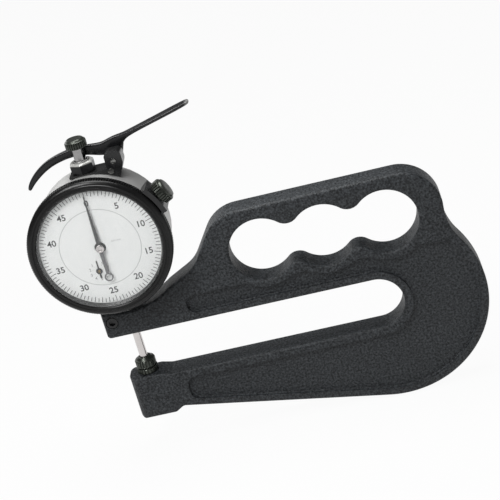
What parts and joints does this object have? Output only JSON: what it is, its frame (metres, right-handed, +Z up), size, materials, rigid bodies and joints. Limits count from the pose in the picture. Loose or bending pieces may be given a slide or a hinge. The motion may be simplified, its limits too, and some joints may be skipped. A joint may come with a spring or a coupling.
{
  "type": "dial thickness gauge",
  "caption": "Deep-throat hand gauge: a dial indicator clamped in a C-shaped cast frame with a finger hole reads the thickness held between a spring-loaded contact and an anvil.",
  "frame": {"origin": "where the measuring axis meets the flat underside of the lower jaw", "axes": "+Z up along the measuring axis, +X from the contacts to the rear of the frame, +Y from the dial to the back"},
  "size_m": [0.1727, 0.0251, 0.1425],
  "materials": {
    "frame_black": "fine textured black paint on cast iron",
    "black_steel": "blackened steel, semi-gloss",
    "bright_steel": "ground bright steel",
    "case_steel": "satin light grey",
    "brass": "fine turned",
    "bezel_black": "semi-gloss black, turned ridges",
    "dial_white": "matt white print",
    "hand_black": "matt black",
    "crystal_clear": "clear flat crystal"
  },
  "bodies": {
    "frame_set": {"frame_casting": "frame_black", "stem_clamp_screw": "black_steel", "anvil": "black_steel", "case": "case_steel", "stem": "case_steel", "back_cover": "case_steel", "cover_screw_1": "bright_steel", "cover_screw_2": "bright_steel", "cover_screw_3": "bright_steel", "cover_screw_4": "bright_steel", "inner_dial": "dial_white", "movement_front_plate": "brass", "movement_rear_plate": "brass", "movement_pillar_1": "brass", "movement_pillar_2": "brass", "movement_pillar_3": "brass", "rack_arbor_bridge": "brass", "pin_guide": "brass", "spring_post": "brass", "return_spring": "bright_steel", "hairspring": "brass", "hairspring_stud": "brass", "bushing_nut": "black_steel", "top_bushing": "case_steel", "lever_bracket": "black_steel", "bracket_screw": "bright_steel", "pivot_screw": "bright_steel", "bezel_clamp": "black_steel"},
    "spindle_set": {"spindle": "bright_steel", "spindle_pin": "bright_steel", "contact_rod": "bright_steel", "contact_disc": "black_steel", "lift_knob": "black_steel"},
    "main_hand_set": {"center_pinion": "bright_steel", "main_hand": "hand_black", "hand_cap": "bright_steel"},
    "counter_hand_set": {"rack_gear": "brass", "counter_hand": "hand_black"},
    "takeup_set": {"takeup_gear": "brass"},
    "lever_set": {"lever": "black_steel"},
    "bezel_set": {"bezel": "bezel_black", "crystal": "crystal_clear", "dial_ring": "dial_white"},
    "clamp_knob_set": {"bezel_clamp_knob": "black_steel"}
  },
  "joints": [
    {"name": "spindle_slide", "type": "slide", "parent": "frame_set", "child": "spindle_set", "axis": [0, 0, 1], "range_m": [0, 0.0127], "stiffness_N_per_m": 60, "springref_m": -0.015, "deforming": ["return_spring"]},
    {"name": "counter_hand_turn", "type": "hinge", "parent": "frame_set", "child": "counter_hand_set", "pos_m": [-0.0032, 0, 0.07427], "axis": [0, 1, 0], "range_deg": [-360, 0]},
    {"name": "main_hand_turn", "type": "hinge", "parent": "frame_set", "child": "main_hand_set", "pos_m": [0, 0, 0.0838], "axis": [0, 1, 0], "range_deg": [0, 3600]},
    {"name": "takeup_turn", "type": "hinge", "parent": "frame_set", "child": "takeup_set", "pos_m": [0.0032, 0, 0.09333], "axis": [0, 1, 0], "range_deg": [-360, 0]},
    {"name": "lever_lift", "type": "hinge", "parent": "frame_set", "child": "lever_set", "pos_m": [0.013, 0.0039, 0.1136], "axis": [0, 1, 0], "range_deg": [0, 36.5]},
    {"name": "bezel_turn", "type": "hinge", "parent": "frame_set", "child": "bezel_set", "pos_m": [0, -0.0147, 0.0838], "axis": [0, 1, 0], "continuous": true},
    {"name": "bezel_clamp_turn", "type": "hinge", "parent": "frame_set", "child": "clamp_knob_set", "pos_m": [0.02764, -0.0103, 0.09849], "axis": [0.8829, 0, 0.4695], "range_deg": [-30, 180]}
  ],
  "couplings": [
    {"joint": "counter_hand_turn", "follows": "spindle_slide", "rad_per_m": -494.74},
    {"joint": "main_hand_turn", "follows": "spindle_slide", "rad_per_m": 4947.4},
    {"joint": "takeup_turn", "follows": "spindle_slide", "rad_per_m": -494.74},
    {"joint": "lever_lift", "follows": "spindle_slide", "rad_per_m": 50}
  ]
}
